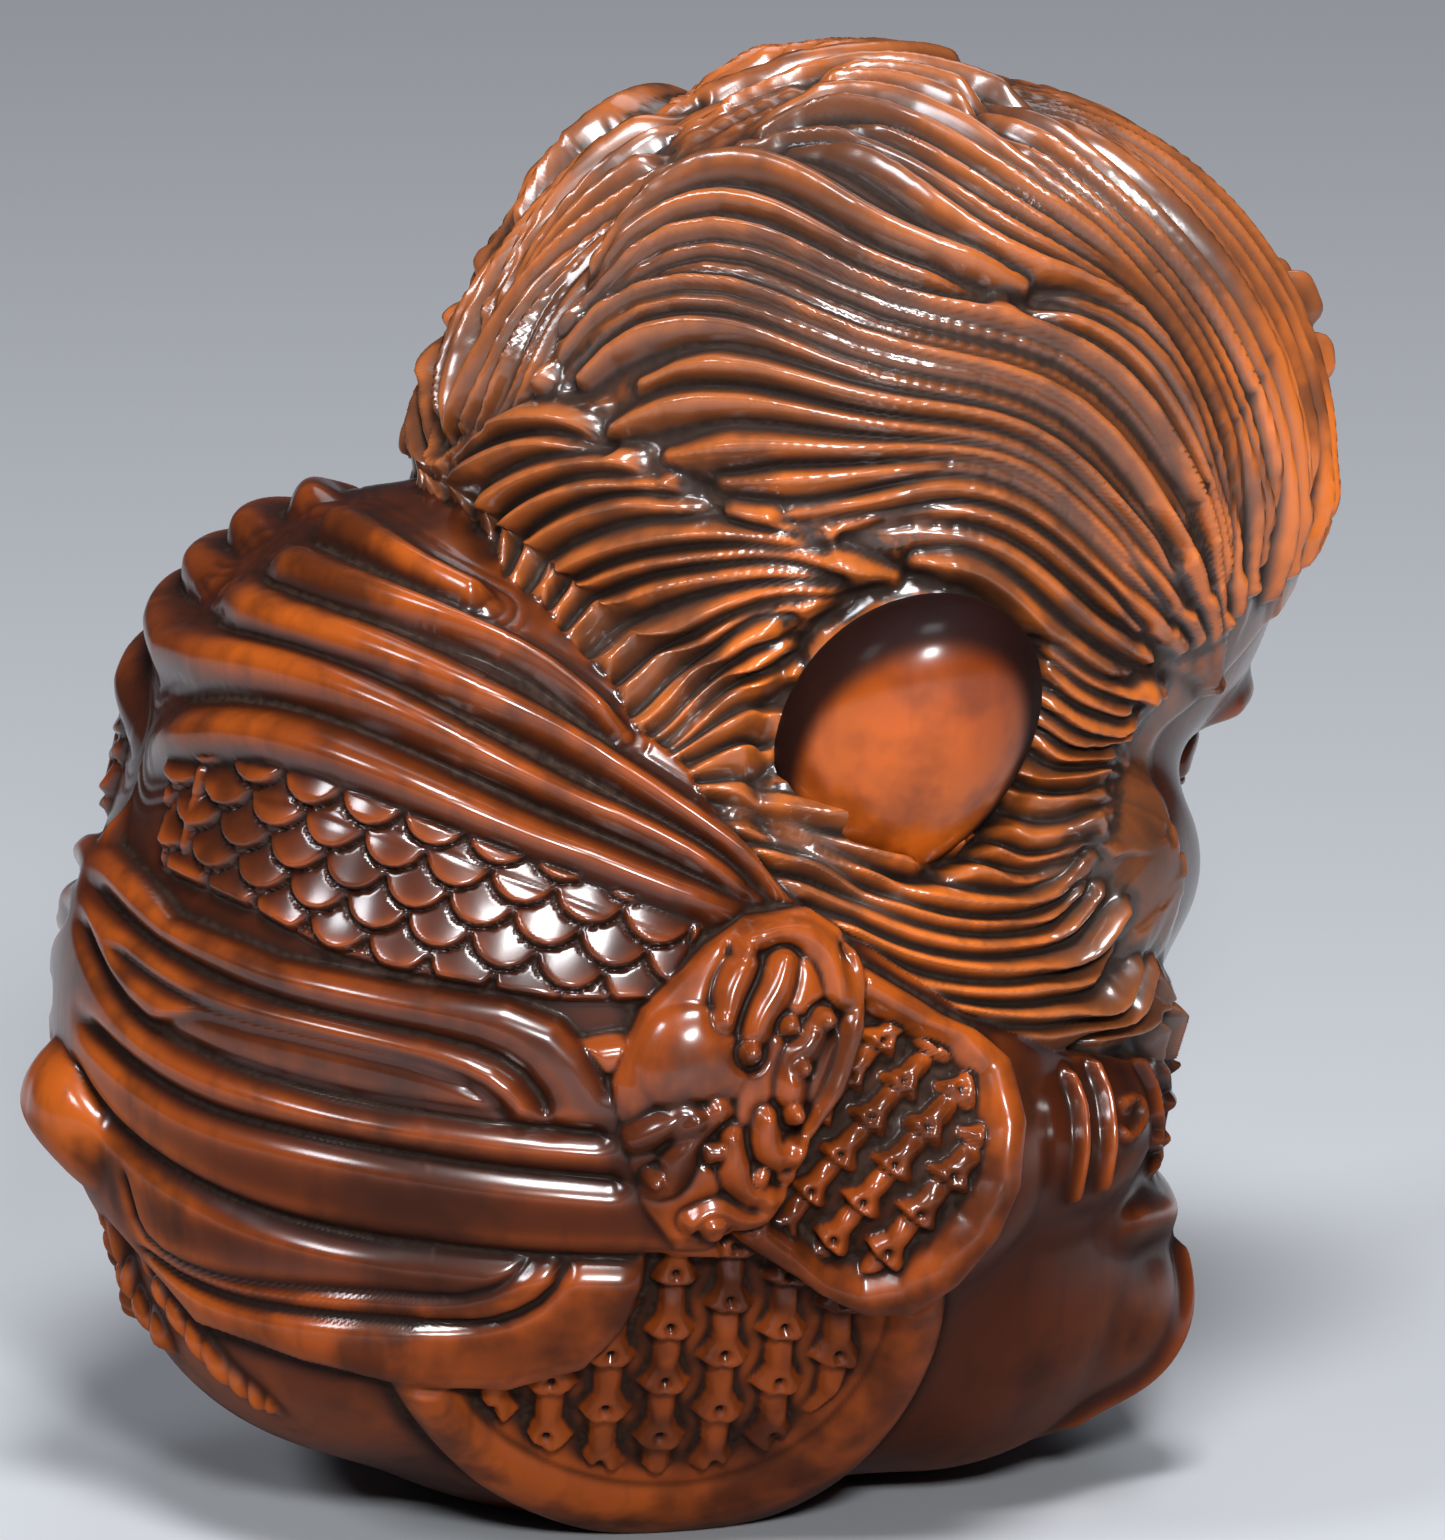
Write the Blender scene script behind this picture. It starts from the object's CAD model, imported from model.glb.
import math

import bpy
import numpy as np
from mathutils import Matrix, Vector


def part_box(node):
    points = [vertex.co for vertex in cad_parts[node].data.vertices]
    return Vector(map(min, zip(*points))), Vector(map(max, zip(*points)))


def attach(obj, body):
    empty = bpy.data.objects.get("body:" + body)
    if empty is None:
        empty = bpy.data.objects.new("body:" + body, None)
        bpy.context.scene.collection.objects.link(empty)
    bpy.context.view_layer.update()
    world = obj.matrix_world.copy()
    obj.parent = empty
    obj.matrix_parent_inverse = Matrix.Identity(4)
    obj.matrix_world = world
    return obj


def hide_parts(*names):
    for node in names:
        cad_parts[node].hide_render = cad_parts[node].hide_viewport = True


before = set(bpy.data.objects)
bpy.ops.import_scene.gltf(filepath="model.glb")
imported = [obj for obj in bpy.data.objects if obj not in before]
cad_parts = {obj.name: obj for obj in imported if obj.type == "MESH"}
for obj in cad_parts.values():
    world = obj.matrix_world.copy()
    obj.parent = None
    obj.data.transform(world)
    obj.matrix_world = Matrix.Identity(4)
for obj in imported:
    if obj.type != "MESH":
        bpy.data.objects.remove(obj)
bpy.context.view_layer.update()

# The carving is laid out in units, about 147 to the height of the figure.
unitsTall = 146.8
low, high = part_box("figurine")
unit = (high[2] - low[2]) / unitsTall

# Three drawings carry the carving: turn, rise, distance of the eye, where the middle falls.
views = {
    "side": (math.radians(-105), math.radians(12), 1520.0, 75.3),
    "front": (0.0, 0.0, 1e5, 73.5),
    "back": (math.pi, 0.0, 1e5, 73.5),
}
viewMiddle = np.array([0.0, 0.0, 73.5])

# Rounded masses of the block: centre and radii, those off the middle are mirrored.
block = {
    "body": ((0, 8, 50.5), (48, 55, 52.5)),
    "head": ((0, -17.5, 101), (41, 43.5, 41.8)),
    "shoulders": ((0, 28, 75), (38.5, 28.5, 27.5)),
    "seat": ((0, 36, 27), (36, 22, 20)),
    "knees": ((0, -20, 26), (34, 26, 25)),
    "cheek": ((-16, -27.5, 67), (22, 18.5, 20)),
    "jaw": ((0, -28, 67), (24, 18.5, 25)),
    "elbow": ((-37, -10, 42), (13, 15, 14)),
    "forearm": ((-22, -26, 41), (18, 13.5, 10)),
    "hands": ((0, -38, 40), (13, 8, 9)),
    "foot": ((-13, -37, 20), (11, 8.5, 9)),
    "knot": ((0, 62, 42), (6.5, 5, 5)),
}
carving = {
    "massBlend": 3.5,
    "starCentre": (0.0, -2.0, 68.0),
    "cellsAcross": 280,
    "quickCellsAcross": 130,
    "leastRise": 0.3,
    "crownFrom": 96,
    "cloakFrom": 42,
}


def smooth(value, start, end):
    share = np.clip((value - start) / (end - start), 0, 1)
    return share * share * (3 - 2 * share)


def hump(value, width, power=2):  # one at the middle
    return np.exp(-(value / width) ** power)


def dome(away):  # round-topped, nothing from 1 on
    return np.sqrt(np.clip(1 - away, 0, 1))


def scattered(k):  # from -0.5 to 0.5, the same each run
    return (k * 0.618) % 1 - 0.5


def viewAxes(view):
    turn, rise, _, _ = views[view]
    towards = np.array([math.sin(turn) * math.cos(rise), -math.cos(turn) * math.cos(rise),
                        math.sin(rise)])
    across = np.array([math.cos(turn), math.sin(turn), 0.0])
    return across, np.cross(towards, across), towards


def drawn(points, view="side"):  # where points of the figure fall in a drawing
    across, up, towards = viewAxes(view)
    _, _, eye, middleUp = views[view]
    offset = points - viewMiddle
    nearer = eye / (eye - offset @ towards)
    return nearer * (offset @ across), middleUp + nearer * (offset @ up)


def folded(points):  # the carving is the same on both sides, so it is worked out on one
    half = points.copy()
    half[:, 0] = -np.abs(half[:, 0])
    return half


def blockDistance(points):
    half = folded(points)
    total = None
    for centre, radii in block.values():
        offset = half - np.array(centre, float)
        scaled = np.sqrt(np.square(offset / radii).sum(1))
        slope = np.sqrt(np.square(offset / np.square(radii)).sum(1))
        here = scaled * (scaled - 1) / np.maximum(slope, 1e-9)
        if total is None:
            total = here
            continue
        mix = np.clip(0.5 + 0.5 * (total - here) / carving["massBlend"], 0, 1)
        total = total * (1 - mix) + here * mix - carving["massBlend"] * mix * (1 - mix)
    return total


def blockNormal(points, step=0.4):
    sides = [blockDistance(points + step * axis) - blockDistance(points - step * axis)
             for axis in np.eye(3)]
    normal = np.stack(sides, -1)
    return normal / np.maximum(np.linalg.norm(normal, axis=1, keepdims=True), 1e-9)


def onBlock(directions, steps=34):
    centre = np.array(carving["starCentre"])
    reach = np.full(len(directions), 110.0)
    for _ in range(steps):
        reach -= 0.85 * blockDistance(centre + directions * reach[:, None])
    return centre + directions * reach[:, None]


def resampled(line, count):
    line = np.array(line, float)
    gone = np.concatenate([[0], np.cumsum(np.linalg.norm(np.diff(line, axis=0), axis=1))])
    at = np.linspace(0, gone[-1], count)
    return np.stack([np.interp(at, gone, line[:, k]) for k in range(line.shape[1])], -1)


def softened(line, count=20):  # a drawn line with its corners rounded off
    line = resampled(line, count)
    for _ in range(2):
        line[1:-1] = 0.25 * line[:-2] + 0.5 * line[1:-1] + 0.25 * line[2:]
    return line


def laidOn(lines, view="side"):  # drawn lines brought down onto the block, all at once
    counts = [len(line) for line in lines]
    flat = np.concatenate(lines)
    across, up, towards = viewAxes(view)
    _, _, far, middleUp = views[view]
    eye = viewMiddle + towards * far
    aim = viewMiddle + flat[:, :1] * across + (flat[:, 1:] - middleUp) * up - eye
    aim /= np.linalg.norm(aim, axis=1, keepdims=True)
    gone = np.full(len(flat), far - 90.0)
    best, least = gone.copy(), np.full(len(flat), 1e9)
    for _ in range(70):
        away = blockDistance(eye + aim * gone[:, None])
        better = np.abs(away) < least
        best, least = np.where(better, gone, best), np.where(better, np.abs(away), least)
        gone = gone + np.where(away < 0.02, 0, 0.7 * np.maximum(away, 0.05))
    points = eye + aim * best[:, None]
    for _ in range(6):
        points = points - blockDistance(points)[:, None] * blockNormal(points)
    if view != "side":
        points = folded(points)
    laid = np.split(points, np.cumsum(counts)[:-1])
    return [np.minimum(line[line[:, 0] < 0.4], [0, 999, 999]) for line in laid]


def lineDistance(points, normals, line, reach):
    lowest, highest = line.min(0) - reach, line.max(0) + reach
    near = np.nonzero(((points > lowest) & (points < highest)).all(1))[0]
    here, facing = points[near], normals[near]
    away = np.full(len(near), 1e9)
    along, side = np.zeros((2, len(near)))
    for k, (start, end) in enumerate(zip(line[:-1], line[1:])):
        step = end - start
        share = np.clip((here - start) @ step / max(step @ step, 1e-9), 0, 1)
        gap = here - start - share[:, None] * step
        far = np.sqrt(np.square(gap).sum(1))
        closer = far < away
        away = np.where(closer, far, away)
        along = np.where(closer, (k + share) / (len(line) - 1), along)
        turned = np.einsum("ij,ij->i", np.cross(facing, step), gap)
        side = np.where(closer, np.sign(turned), side)
    return near, along, away, side


def toSegment(across, up, start, end):  # share gone, and distance
    (x0, y0), (x1, y1) = start, end
    dx, dy = x1 - x0, y1 - y0
    share = np.clip(((across - x0) * dx + (up - y0) * dy) / (dx * dx + dy * dy), 0, 1)
    return share, np.hypot(across - x0 - share * dx, up - y0 - share * dy)


def insideBy(across, up, outline):  # how far inside a drawn outline, negative outside
    away = np.full(len(across), 1e9)
    within = np.zeros(len(across), bool)
    for start, end in zip(outline, outline[1:] + outline[:1]):
        away = np.minimum(away, toSegment(across, up, start, end)[1])
        (x0, y0), (x1, y1) = start, end
        if y0 != y1:
            crosses = (up >= min(y0, y1)) & (up < max(y0, y1))
            within ^= crosses & (across < x0 + (up - y0) * (x1 - x0) / (y1 - y0))
    return np.where(within, away, -away)


def flatDistance(across, up, line):  # distance to a drawn line, and how far along it
    away = np.full(len(across), 1e9)
    along = np.zeros(len(across))
    for k, (start, end) in enumerate(zip(line[:-1], line[1:])):
        share, far = toSegment(across, up, start, end)
        along = np.where(far < away, (k + share) / (len(line) - 1), along)
        away = np.minimum(away, far)
    return away, along


# Hair: long strands read off the figure, and the tufts that fill the space between two of them.
strand = {
    "nape inner": [(-28, 101.8), (-24.7, 108.5), (-22, 114.5), (-18.7, 121), (-14.7, 125.8),
        (-10, 129.8), (-4, 133.5), (1.3, 135.8)],
    "nape hollow": [(-22, 107.8), (-18.7, 110.5), (-16.3, 114.5), (-15.3, 118.5), (-12, 124.5),
        (-7.3, 128.5), (-3.3, 131.1)],
    "wave crest": [(-9.5, 124.5), (-5, 129.5), (0, 132.8), (5.3, 133.7), (10.7, 131.8),
        (16, 128.1), (21.3, 125.5), (27, 123.8), (32, 123)],
    "wave edge": [(-11, 120.5), (-5.5, 127), (0, 129.9), (5.3, 129.9), (10.3, 127.8), (15, 125),
        (20, 123), (26, 121.3), (32, 120.4)],
    "wave top": [(-12, 118.5), (-6, 125.1), (0, 127.8), (5.3, 127.8), (10, 125.5), (14, 123),
        (18.7, 121), (24.7, 119.5), (31.3, 118.5), (37.3, 116.5), (42, 112.5), (46, 106.5),
        (49, 100.5), (50.8, 95), (51.3, 90)],
    "wave upper": [(-15.3, 111.5), (-12.7, 116.5), (-7, 120.5), (-0.7, 122), (5.3, 121),
        (10.7, 118), (16, 115.5), (22, 114.3), (28, 113.8), (34, 112), (39, 108.5), (43, 103),
        (46, 98.5), (48.8, 93.5), (50.3, 89)],
    "wave lower": [(-9, 107.8), (-5.3, 109.8), (-0.7, 111.8), (5.3, 111.5), (11.3, 110.1),
        (17.3, 108.8), (22.7, 108.5), (28, 108.5), (32.5, 107), (36.5, 104), (40, 100),
        (43.5, 96.5), (47, 92), (49.3, 88.3)],
    "wave foot": [(0.7, 101.8), (4, 99.8), (8, 99.5), (13.3, 100.1), (18.7, 101.8), (23.3, 103.8),
        (28, 103.6), (33, 101.5), (37, 98), (40.5, 94.8), (44, 91.5), (48, 87.5)],
    "fan": [(14.7, 98.5), (21.3, 99.8), (28, 98.8), (32.7, 95.8), (37, 91.6), (41.5, 87.8),
        (46, 85.2)],
    "fan foot": [(22, 95.5), (27, 95), (31, 92), (35, 88), (40, 85), (45, 83.6)],
    "ear front": [(33.8, 88), (38, 84.4), (42, 82.6), (45.6, 82.6)],
    "ear middle": [(32.8, 78.2), (36, 76.6), (40, 76.2), (42.4, 78.2)],
    "ear foot": [(26.4, 67), (32, 65.2), (36, 66), (39.6, 69)],
    "cheek": [(2, 69.8), (8, 69), (12, 66.8), (16, 64), (22, 61.4), (28.8, 60.6), (34, 61.8),
        (38, 65), (40, 68.2)],
    "jaw": [(14, 59), (20, 55.8), (26, 54.4), (32, 54.6), (38, 57), (42, 61)],
    "jowl": [(22, 50), (28, 48.4), (34, 48.2), (40, 49.8), (44.4, 55.6)],
    "jowl foot": [(38, 47.4), (42, 48.6), (45.2, 52.5), (45.6, 56)],
    "back curl": [(-28, 101.1), (-24, 106.5), (-18.7, 109.1), (-13.3, 109.5), (-8.7, 107.1)],
    "under curl": [(-21.3, 93.1), (-18.7, 98.5), (-14.7, 101.8), (-9.3, 103.8), (-3.3, 103.5),
        (0, 101.8)],
    "collar": [(-16, 88.5), (-12, 93.1), (-5.3, 95.8), (1.3, 96.5), (8, 96.8), (14.7, 95.1),
        (19.3, 93.8)],
    "collar foot": [(-7.5, 77.8), (-3.5, 79.8), (0, 83.8), (3.5, 87.8), (7.5, 90.3), (12, 90.8)],
    "ear back": [(-2.5, 74.8), (2.5, 75.6), (8, 76.8)],
    "crown": [(1.3, 136.5), (8, 140.1), (14.7, 141.7), (21.3, 140.5), (28, 136.5), (33.3, 132.5),
        (38.7, 128.8), (43.5, 124.8), (48, 119.5), (51.5, 113), (53.8, 106), (54.9, 99),
        (54.6, 93)],
    "crown foot": [(5.3, 136.3), (11.3, 136.8), (16.7, 135.5), (20.7, 132.1), (24.7, 128.5),
        (29.3, 125.5), (34.7, 123), (40, 122.4), (44.7, 119.6), (48.2, 114.8), (50.8, 108.5),
        (52.5, 101.5), (53, 95), (52.6, 90)],
    "crest": [(-5, 135.5), (0, 138.6), (7, 142), (14.7, 144), (21.3, 144), (29, 141.8),
        (35, 138.5)],
    "temple front": [(28, 141.1), (34.7, 137.1), (41.3, 131.8), (47.3, 125.8), (52, 119.1),
        (55.3, 111.8), (57, 104.5), (57.3, 97.8), (56.7, 92.5)],
}
strand["crown head"] = strand["crown"][:5]
strand["crown tail"] = strand["crown"][4:]
strand["crown foot tail"] = strand["crown foot"][6:]
strand["brow edge"] = strand["wave top"][8:]
for name in ("back curl", "under curl", "collar", "collar foot", "ear back", "cheek", "jaw",
             "jowl"):
    (x0, y0), (x1, y1) = strand[name][:2]
    stretch = 3 / math.hypot(x1 - x0, y1 - y0)
    strand[name] = [(x0 + stretch * (x0 - x1), y0 + stretch * (y0 - y1))] + strand[name]
hair = {
    "sideTufts": {  # first strand, last strand, spaces, how proud
        "nape": ("nape inner", "nape hollow", 5, 0.3),
        "wave crest": ("wave crest", "wave edge", 1, 2.4),
        "wave top": ("wave top", "wave upper", 4, 2.3),
        "wave middle": ("wave upper", "wave lower", 3, 2.0),
        "wave foot": ("wave lower", "wave foot", 3, 1.8),
        "under fan": ("wave foot", "fan", 2, 1.0),
        "fan foot": ("fan", "fan foot", 1, 0.5),
        "ear front": ("ear front", "ear middle", 4, 0.9),
        "ear foot": ("ear middle", "ear foot", 4, 0.9),
        "over cheek": ("ear foot", "cheek", 2, 0.9),
        "cheek": ("cheek", "jaw", 3, 1.2),
        "jowl": ("jaw", "jowl", 3, 1.5),
        "jowl foot": ("jowl", "jowl foot", 1, 1.2),
        "back curl": ("back curl", "under curl", 3, 1.6),
        "under curl": ("under curl", "collar", 3, 1.1),
        "collar": ("collar", "collar foot", 4, 1.0),
        "ear back": ("collar foot", "ear back", 4, 1.1),
        "ear shadow": ("ear back", "cheek", 3, 0.7),
        "crown": ("crown", "crown foot", 4, 1.5),
        "crest": ("crest", "crown head", 3, 0.8),
        "brow": ("crown foot tail", "brow edge", 3, 1.1),
        "temple": ("temple front", "crown tail", 3, 1.2),
    },
    "frontTufts": {
        "forehead lock": ([(0.8, 141), (1, 131), (1.3, 119), (2.5, 109), (6, 101), (12, 96)],
            [(9, 140), (14, 136), (18, 131), (20.5, 125.5), (22, 119), (23, 112), (23, 105),
             (22, 95)], 9, 1.4),
        "chin hair": ([(24, 56), (18, 49), (9, 44), (0, 42)],
            [(27, 52), (19, 45), (10, 40), (0, 38)], 2, 1.2),
    },
    "backTufts": {
        "back lock": ([(0.6, 141), (0.6, 133), (0.6, 125), (0.6, 117)],
            [(6.5, 138), (4, 130), (2.2, 123), (1.4, 117)], 2, 0.3),
    },
    "edge": [(-60, 118), (-34, 104), (-29, 103), (-23.5, 101), (-20.3, 97), (-19.3, 94),
        (-15.5, 91.3), (-13.3, 88.3), (-8.3, 83.3), (-6.6, 79.3), (-4, 77.6), (-1.4, 75.4),
        (0.6, 72), (6, 65), (9, 62), (16, 58), (26, 51), (35, 47), (44, 46), (70, 46), (70, 170),
        (-60, 170)],
    "shortStrands": {"crest": 0.5},
    "slices": {"crown head": "crown", "crown tail": "crown", "crown foot tail": "crown foot",
               "brow edge": "wave top"},
    "strandRise": 2.8,
    "widestStrand": 2.3,
    "unevenness": 1.2,
    "wander": 0.55,
    "soft": 0.32,
    "steps": 1.2,
    "gapWide": 0.62,
    "lean": 0.4,
    "sunkenEnds": 0.9,
    "pointedEnds": 0.9,
    "tucked": 1.7,
}


def hairStrands():
    strands, shared = [], set()
    for view in ("side", "front", "back"):
        lines, rises = [], []
        for tuft, (*edges, count, rise) in hair[view + "Tufts"].items():
            reach = hair["shortStrands"].get(tuft, 0)
            first, last = (softened(strand[edge] if isinstance(edge, str) else edge)
                           for edge in edges)
            owners = [hair["slices"].get(str(edge), str(edge)) for edge in edges]
            for k in range(2 * count + 1):
                atEdge = k % (2 * count) == 0
                owner = owners[k > 0]
                if (k % 2 and not reach) or (atEdge and owner in shared):
                    continue
                shared |= {owner} if atEdge else set()
                wander = hair["wander"] * scattered(len(lines))
                share = (k / 2 + wander * (not atEdge)) / count
                line = first * (1 - share) + last * share
                free = tuft.startswith(("wave", "crown"))
                line = line[(k * 5) % 3 * free:len(line) - (k * 7) % 3]
                if k % 2:  # a short strand that gives out between its neighbours
                    line = resampled(line[:max(3, int(len(line) * reach))], 10)
                lines.append(line)
                rises.append(rise)
        strands += [(line, rise) for line, rise in zip(laidOn(lines, view), rises)
                    if len(line) > 2]
    return strands


def hairRise(points, normals):
    count = len(points)
    first, second = np.full((2, count), 1e9)
    level, other, side = np.zeros((3, count))
    for k, (line, rise) in enumerate(hairStrands()):
        near, along, away, turned = lineDistance(points, normals, line, 8.0)
        tip = 1 - smooth(along, -0.02, 0.14) * (line[0, 0] < -1.5) + smooth(along, 0.86, 1.02)
        own = rise + hair["unevenness"] * scattered(k) - hair["sunkenEnds"] * tip
        away = away + hair["pointedEnds"] * tip
        closer, close = away < first[near], away < second[near]
        other[near] = np.where(closer, level[near], np.where(close, own, other[near]))
        second[near] = np.where(closer, first[near], np.where(close, away, second[near]))
        level[near] = np.where(closer, own, level[near])
        side[near] = np.where(closer, turned, side[near])
        first[near] = np.where(closer, away, first[near])
    other = np.where(second < 1e8, other, level)
    shared = 0.5 - 0.5 * smooth(second - first, 0, hair["steps"])
    level = level * (1 - shared) + other * shared
    half = np.clip((first + second) / 2, 0.4, hair["widestStrand"])
    fromGroove = np.maximum(half - first, 0)
    gap = (1 - smooth(fromGroove, 0.05, hair["gapWide"])) * smooth(half, 0.55, 1.3)
    gap *= 1 - 0.7 * smooth(first, half + 0.4, half + 1.6)
    fromGroove = np.sqrt(fromGroove ** 2 + hair["soft"] ** 2) - hair["soft"]
    share = np.clip(1 - fromGroove / half, 0, 1)
    crown = hair["strandRise"] * (1 - share ** 2.0) * smooth(half, 0.4, 1.15)
    return level + crown + hair["lean"] * side * share * (1 - share) * 2 - 1.4, gap


# Cloth: crest lines of the cloak folds, and the grooves that part the bands.
cloth = {
    "folds": {  # crest line, half width and that at its end, rise
        "collar fold": ([(-40, 101.3), (-34, 97.8), (-28, 94.3), (-25, 92.8), (-21.5, 91)],
            2.6, 1.8, 2.6),
        "first fold": ([(-43.5, 100), (-43, 95.5), (-37.5, 93.3), (-30, 90.8), (-22.5, 87.8),
            (-17, 85.3), (-13.5, 82.8), (-10, 79.8), (-8, 78)], 2.7, 1.3, 3.0),
        "second fold": ([(-49, 95), (-48, 91.5), (-42.5, 89.3), (-35, 87.3), (-27.5, 84.3),
            (-20, 80.8), (-12.5, 77.3), (-7.5, 73.8), (-2.5, 70.8), (2.5, 67.3), (8.5, 62.3)],
            2.9, 1.5, 3.2),
        "third fold": ([(-55, 88.5), (-52.5, 85.5), (-45, 85.6), (-39, 83.8), (-32, 81.3),
            (-25, 77.8), (-17.5, 73.8), (-12.5, 71.3), (-5, 68.3), (0, 65.8), (5, 61.8)],
            2.9, 1.5, 3.2),
        "hem fold": ([(-57.5, 75.8), (-52.5, 78), (-47.5, 78.9), (-40, 77.8), (-32.5, 74.8),
            (-25, 71.8), (-19, 68.8), (-12.5, 66.3), (-5, 63.3), (0, 61.3), (4.5, 60)],
            2.8, 2.0, 3.2),
    },
    "bandEdge": [(-66, 76), (-56.5, 73.8), (-57.6, 66.8), (-51.5, 59.8), (-41.5, 55.8),
        (-29, 53.3), (-19, 51.8), (-14, 49.8), (-11, 46.8), (-9, 43.8), (0, 40), (2, 26.6),
        (-5.5, 26.6), (-5.8, 23.8), (-7.5, 19.8), (-11.5, 15.8), (-19, 13.8), (-29, 14),
        (-39, 16.3), (-49, 19.8), (-54, 25.8), (-66, 40)],
    "bandLevel": 2.8,
    "bandGrooves": [  # line, depth, reach to each side
        ([(-58.8, 62.8), (-54, 57.3), (-44, 52.3), (-34, 49.8), (-24, 47.8), (-19, 46.3),
            (-16, 43.8), (-14.8, 40.4)], 2.2, 2.6),
        ([(-57, 57), (-54, 54.3), (-49, 51.3), (-44, 49.8), (-37.5, 48.3), (-29, 46.3),
            (-22.5, 44.3), (-19, 41.8), (-18.3, 40.3)], 1.2, 1.8),
        ([(-59.6, 59.3), (-58, 54.3), (-55, 49.8), (-49, 46.3), (-41.5, 43.8), (-34, 41.8),
            (-24, 40.3), (-16.5, 39.3), (-9, 38.8)], 2.0, 2.0),
        ([(-61.6, 52.3), (-56.5, 46.3), (-49, 41.3), (-39, 38.8), (-29, 36.8), (-19, 35.3),
            (-7.5, 34.3)], 2.0, 2.4),
        ([(-60.8, 44.8), (-55.5, 37.8), (-46.5, 32.3), (-36.5, 29.3), (-26.5, 27.8), (-16.5, 26.7),
            (-2.5, 26.4)], 2.4, 2.8),
        ([(-55.5, 35.8), (-53.5, 27.8), (-46.5, 24.3), (-39, 23.3), (-29, 23), (-21.5, 23.5),
            (-18, 24.8), (-16.5, 26.4)], 0.9, 1.1),
        ([(-54, 27.8), (-51, 24.8), (-44, 21.8), (-34, 20.5), (-24, 20.3), (-17.5, 21.5),
            (-14, 23.8), (-13, 26.3)], 1.4, 1.4),
    ],
    "sunkenPanel": [(-49, 51.3), (-44, 49.8), (-37.5, 48.3), (-29, 46.3), (-22.5, 44.3),
        (-19, 41.8), (-18.3, 39.6), (-24, 40.3), (-34, 41.8), (-41.5, 43.8), (-49, 46.3),
        (-55, 50)],
    "panelDepth": 1.0,
    "tails": {
        "outer tail": ([(-60, 38), (-60.5, 31), (-58, 24)], 1.7, 1.8),
        "second tail": ([(-57.5, 36), (-57.5, 29), (-55.5, 22), (-52, 17)], 1.6, 2.0),
        "third tail": ([(-55, 29), (-53, 22.5), (-49, 17), (-45, 13)], 1.5, 1.9),
        "inner tail": ([(-51, 19.5), (-46.5, 14.5), (-42, 11)], 1.4, 1.7),
    },
    "cuffs": {
        "cuff": ([(36, 45), (37.8, 40.8), (38, 36.8), (37, 32)], 0.8, 1.8),
        "second cuff": ([(38.4, 46), (40.2, 41.8), (40.6, 37.8), (39.8, 33)], 0.7, 1.8),
        "cuff scroll": ([(41.4, 41), (43.4, 42), (43.8, 39.6), (42.4, 37.8), (41.6, 39)],
            0.6, 1.4),
        "third cuff": ([(42.6, 47), (44.6, 42.8), (45.2, 38.3), (44.4, 34)], 0.7, 1.6),
        "cuff edge": ([(45.5, 45.6), (46.8, 40.3), (46.2, 35)], 0.8, 1.4),
    },
    "front": {
        "thumb": ([(10, 47), (5, 46), (1, 44)], 1.3, 1.8),
        "first finger": ([(12, 43), (6, 42), (1, 40)], 1.3, 1.8),
        "second finger": ([(12, 39), (6, 38), (1, 37)], 1.3, 1.8),
        "third finger": ([(11, 35), (6, 34), (1, 33)], 1.3, 1.8),
        "belt": ([(0, 28), (14, 28), (28, 31)], 2.2, 1.8),
        "sash end": ([(3, 26), (6, 19), (5, 12)], 2.0, 1.6),
        "robe fold": ([(14, 25), (19, 16), (15, 7)], 1.6, 1.6),
    },
    "chiselMarks": 0.22,
    "chiselPitch": 1.5,
    "tailTwist": 0.5,
}


def ridgeRise(points, normals, ridges, view="side", marks=0.0, twist=0.0):
    height, cut = np.zeros((2, len(points)))
    lines = laidOn([softened(ridge[0], 18) for ridge in ridges.values()], view)
    for line, (_, *widths, rise) in zip(lines, ridges.values()):
        if len(line) < 3:
            continue
        wide, narrow = widths[0], widths[-1]
        near, along, away, side = lineDistance(points, normals, line, 2.8 * max(wide, narrow))
        half = wide + (narrow - wide) * smooth(along, 0, 0.7)
        start = smooth(along, -0.05, 0.08) if line[0, 0] < -1 else 1.0
        ends = start * smooth(-along, -1.06, -0.9)
        here = rise * ends * hump(away, half, 2.2)
        turns = 0.34 * len(line) * along + 0.35 * side * away / half
        here *= 1 - twist * np.abs(np.sin(math.pi * turns)) ** 6
        deep = smooth(away, 0.9 * half, 1.3 * half) * smooth(-away, -2.8 * half, -2.0 * half)
        strokes = np.abs(np.sin(math.pi * away / cloth["chiselPitch"]))
        cut[near] = np.maximum(cut[near], deep * (1 - strokes))
        height[near] = np.maximum(height[near], here)
    return height - marks * cut * (height < 1.4)


def raised(height, ridges):
    return np.where(ridges > 0.05, np.maximum(height, ridges), np.minimum(height, height + ridges))


def bandRise(points, normals, across, up):
    height = np.full(len(points), cloth["bandLevel"])
    panel = insideBy(across, up, cloth["sunkenPanel"])
    height -= cloth["panelDepth"] * smooth(panel, 0.0, 1.2)
    grooves = cloth["bandGrooves"]
    lines = laidOn([softened(groove[0], 20) for groove in grooves])
    for line, (_, depth, reach) in zip(lines, grooves):
        near, along, away, _ = lineDistance(points, normals, line, reach + 0.4)
        start = smooth(along, -0.02, 0.04) if line[0, 0] < -1 else 1.0
        ends = start * smooth(-along, -1.02, -0.97)
        fall = np.clip(1 - away / reach, 0, 1) ** 1.8
        height[near] -= depth * ends * fall
    return height


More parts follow.
